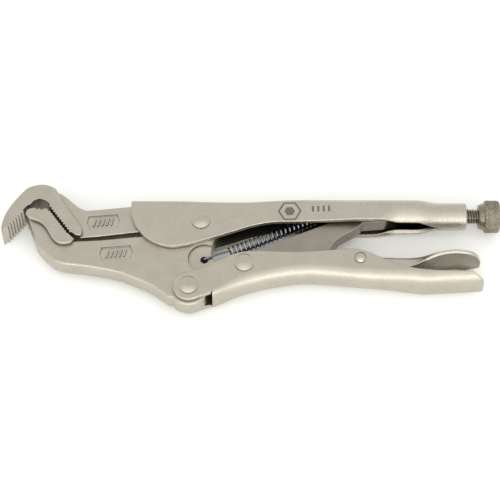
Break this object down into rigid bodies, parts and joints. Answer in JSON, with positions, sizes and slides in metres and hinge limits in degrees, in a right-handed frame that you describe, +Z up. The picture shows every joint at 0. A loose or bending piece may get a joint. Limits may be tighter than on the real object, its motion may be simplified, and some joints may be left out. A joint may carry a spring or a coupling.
{
  "type": "locking pliers with hooked pipe jaws",
  "caption": "Locking pliers with toothed hook jaws, pressed channel handles, toggle link, release lever and knurled adjusting screw.",
  "frame": {"origin": "bottom middle of the bounding box with the tool lying on its side, jaws closed and locked", "axes": "+X along the tool from the jaws to the knob, +Y from the lower handle to the upper handle, +Z up, across the thickness of the tool"},
  "size_m": [0.25, 0.068, 0.019],
  "materials": {
    "handle_nickel": "satin nickel plate over pressed steel, fine blasted grain",
    "jaw_nickel": "satin nickel plate over forged steel",
    "rivet_nickel": "smooth nickel-plated steel",
    "screw_nickel": "turned, nickel-plated steel",
    "spring_zinc": "bright zinc-plated spring wire"
  },
  "bodies": {
    "frame_body": {"upper_handle": "handle_nickel", "upper_jaw": "jaw_nickel", "jaw_pivot_rivet": "rivet_nickel", "main_spring": "spring_zinc"},
    "moving_jaw": {"lower_jaw": "jaw_nickel"},
    "squeeze_handle": {"lower_handle": "handle_nickel", "handle_pivot_rivet": "rivet_nickel", "link_rivet": "rivet_nickel", "lever_rivet": "rivet_nickel"},
    "link": {"toggle_link": "handle_nickel"},
    "release": {"release_lever": "handle_nickel"},
    "screw_carriage": {"screw_nose": "screw_nickel"},
    "adjusting_screw": {"screw_rod": "screw_nickel", "knurled_knob": "screw_nickel"}
  },
  "joints": [
    {"name": "jaw_swing", "type": "hinge", "parent": "frame_body", "child": "moving_jaw", "pos_m": [-0.02529, 0.01243, 0.0095], "axis": [0, 0, 1], "range_deg": [0, 16], "deforming": ["main_spring"]},
    {"name": "handle_swing", "type": "hinge", "parent": "moving_jaw", "child": "squeeze_handle", "pos_m": [-0.03093, -0.02457, 0.0095], "axis": [0, 0, 1], "range_deg": [-54.11, 0]},
    {"name": "link_swing", "type": "hinge", "parent": "squeeze_handle", "child": "link", "pos_m": [-0.00359, -0.01197, 0.0095], "axis": [0, 0, 1], "range_deg": [0, 55.89]},
    {"name": "lever_press", "type": "hinge", "parent": "squeeze_handle", "child": "release", "pos_m": [0.05391, -0.00907, 0.0095], "axis": [0, 0, 1], "range_deg": [-6.5, 0]},
    {"name": "screw_travel", "type": "slide", "parent": "frame_body", "child": "screw_carriage", "axis": [1, 0, 0], "range_m": [0, 0.0175]},
    {"name": "screw_turn", "type": "hinge", "parent": "screw_carriage", "child": "adjusting_screw", "pos_m": [0.09471, 0.01903, 0.0095], "axis": [1, 0, 0], "range_deg": [0, 5050]}
  ],
  "couplings": [
    {"joint": "handle_swing", "follows": "jaw_swing", "ratio": -3.3507},
    {"joint": "link_swing", "follows": "jaw_swing", "ratio": 3.462},
    {"joint": "screw_turn", "follows": "screw_travel", "rad_per_m": 5026.5}
  ]
}
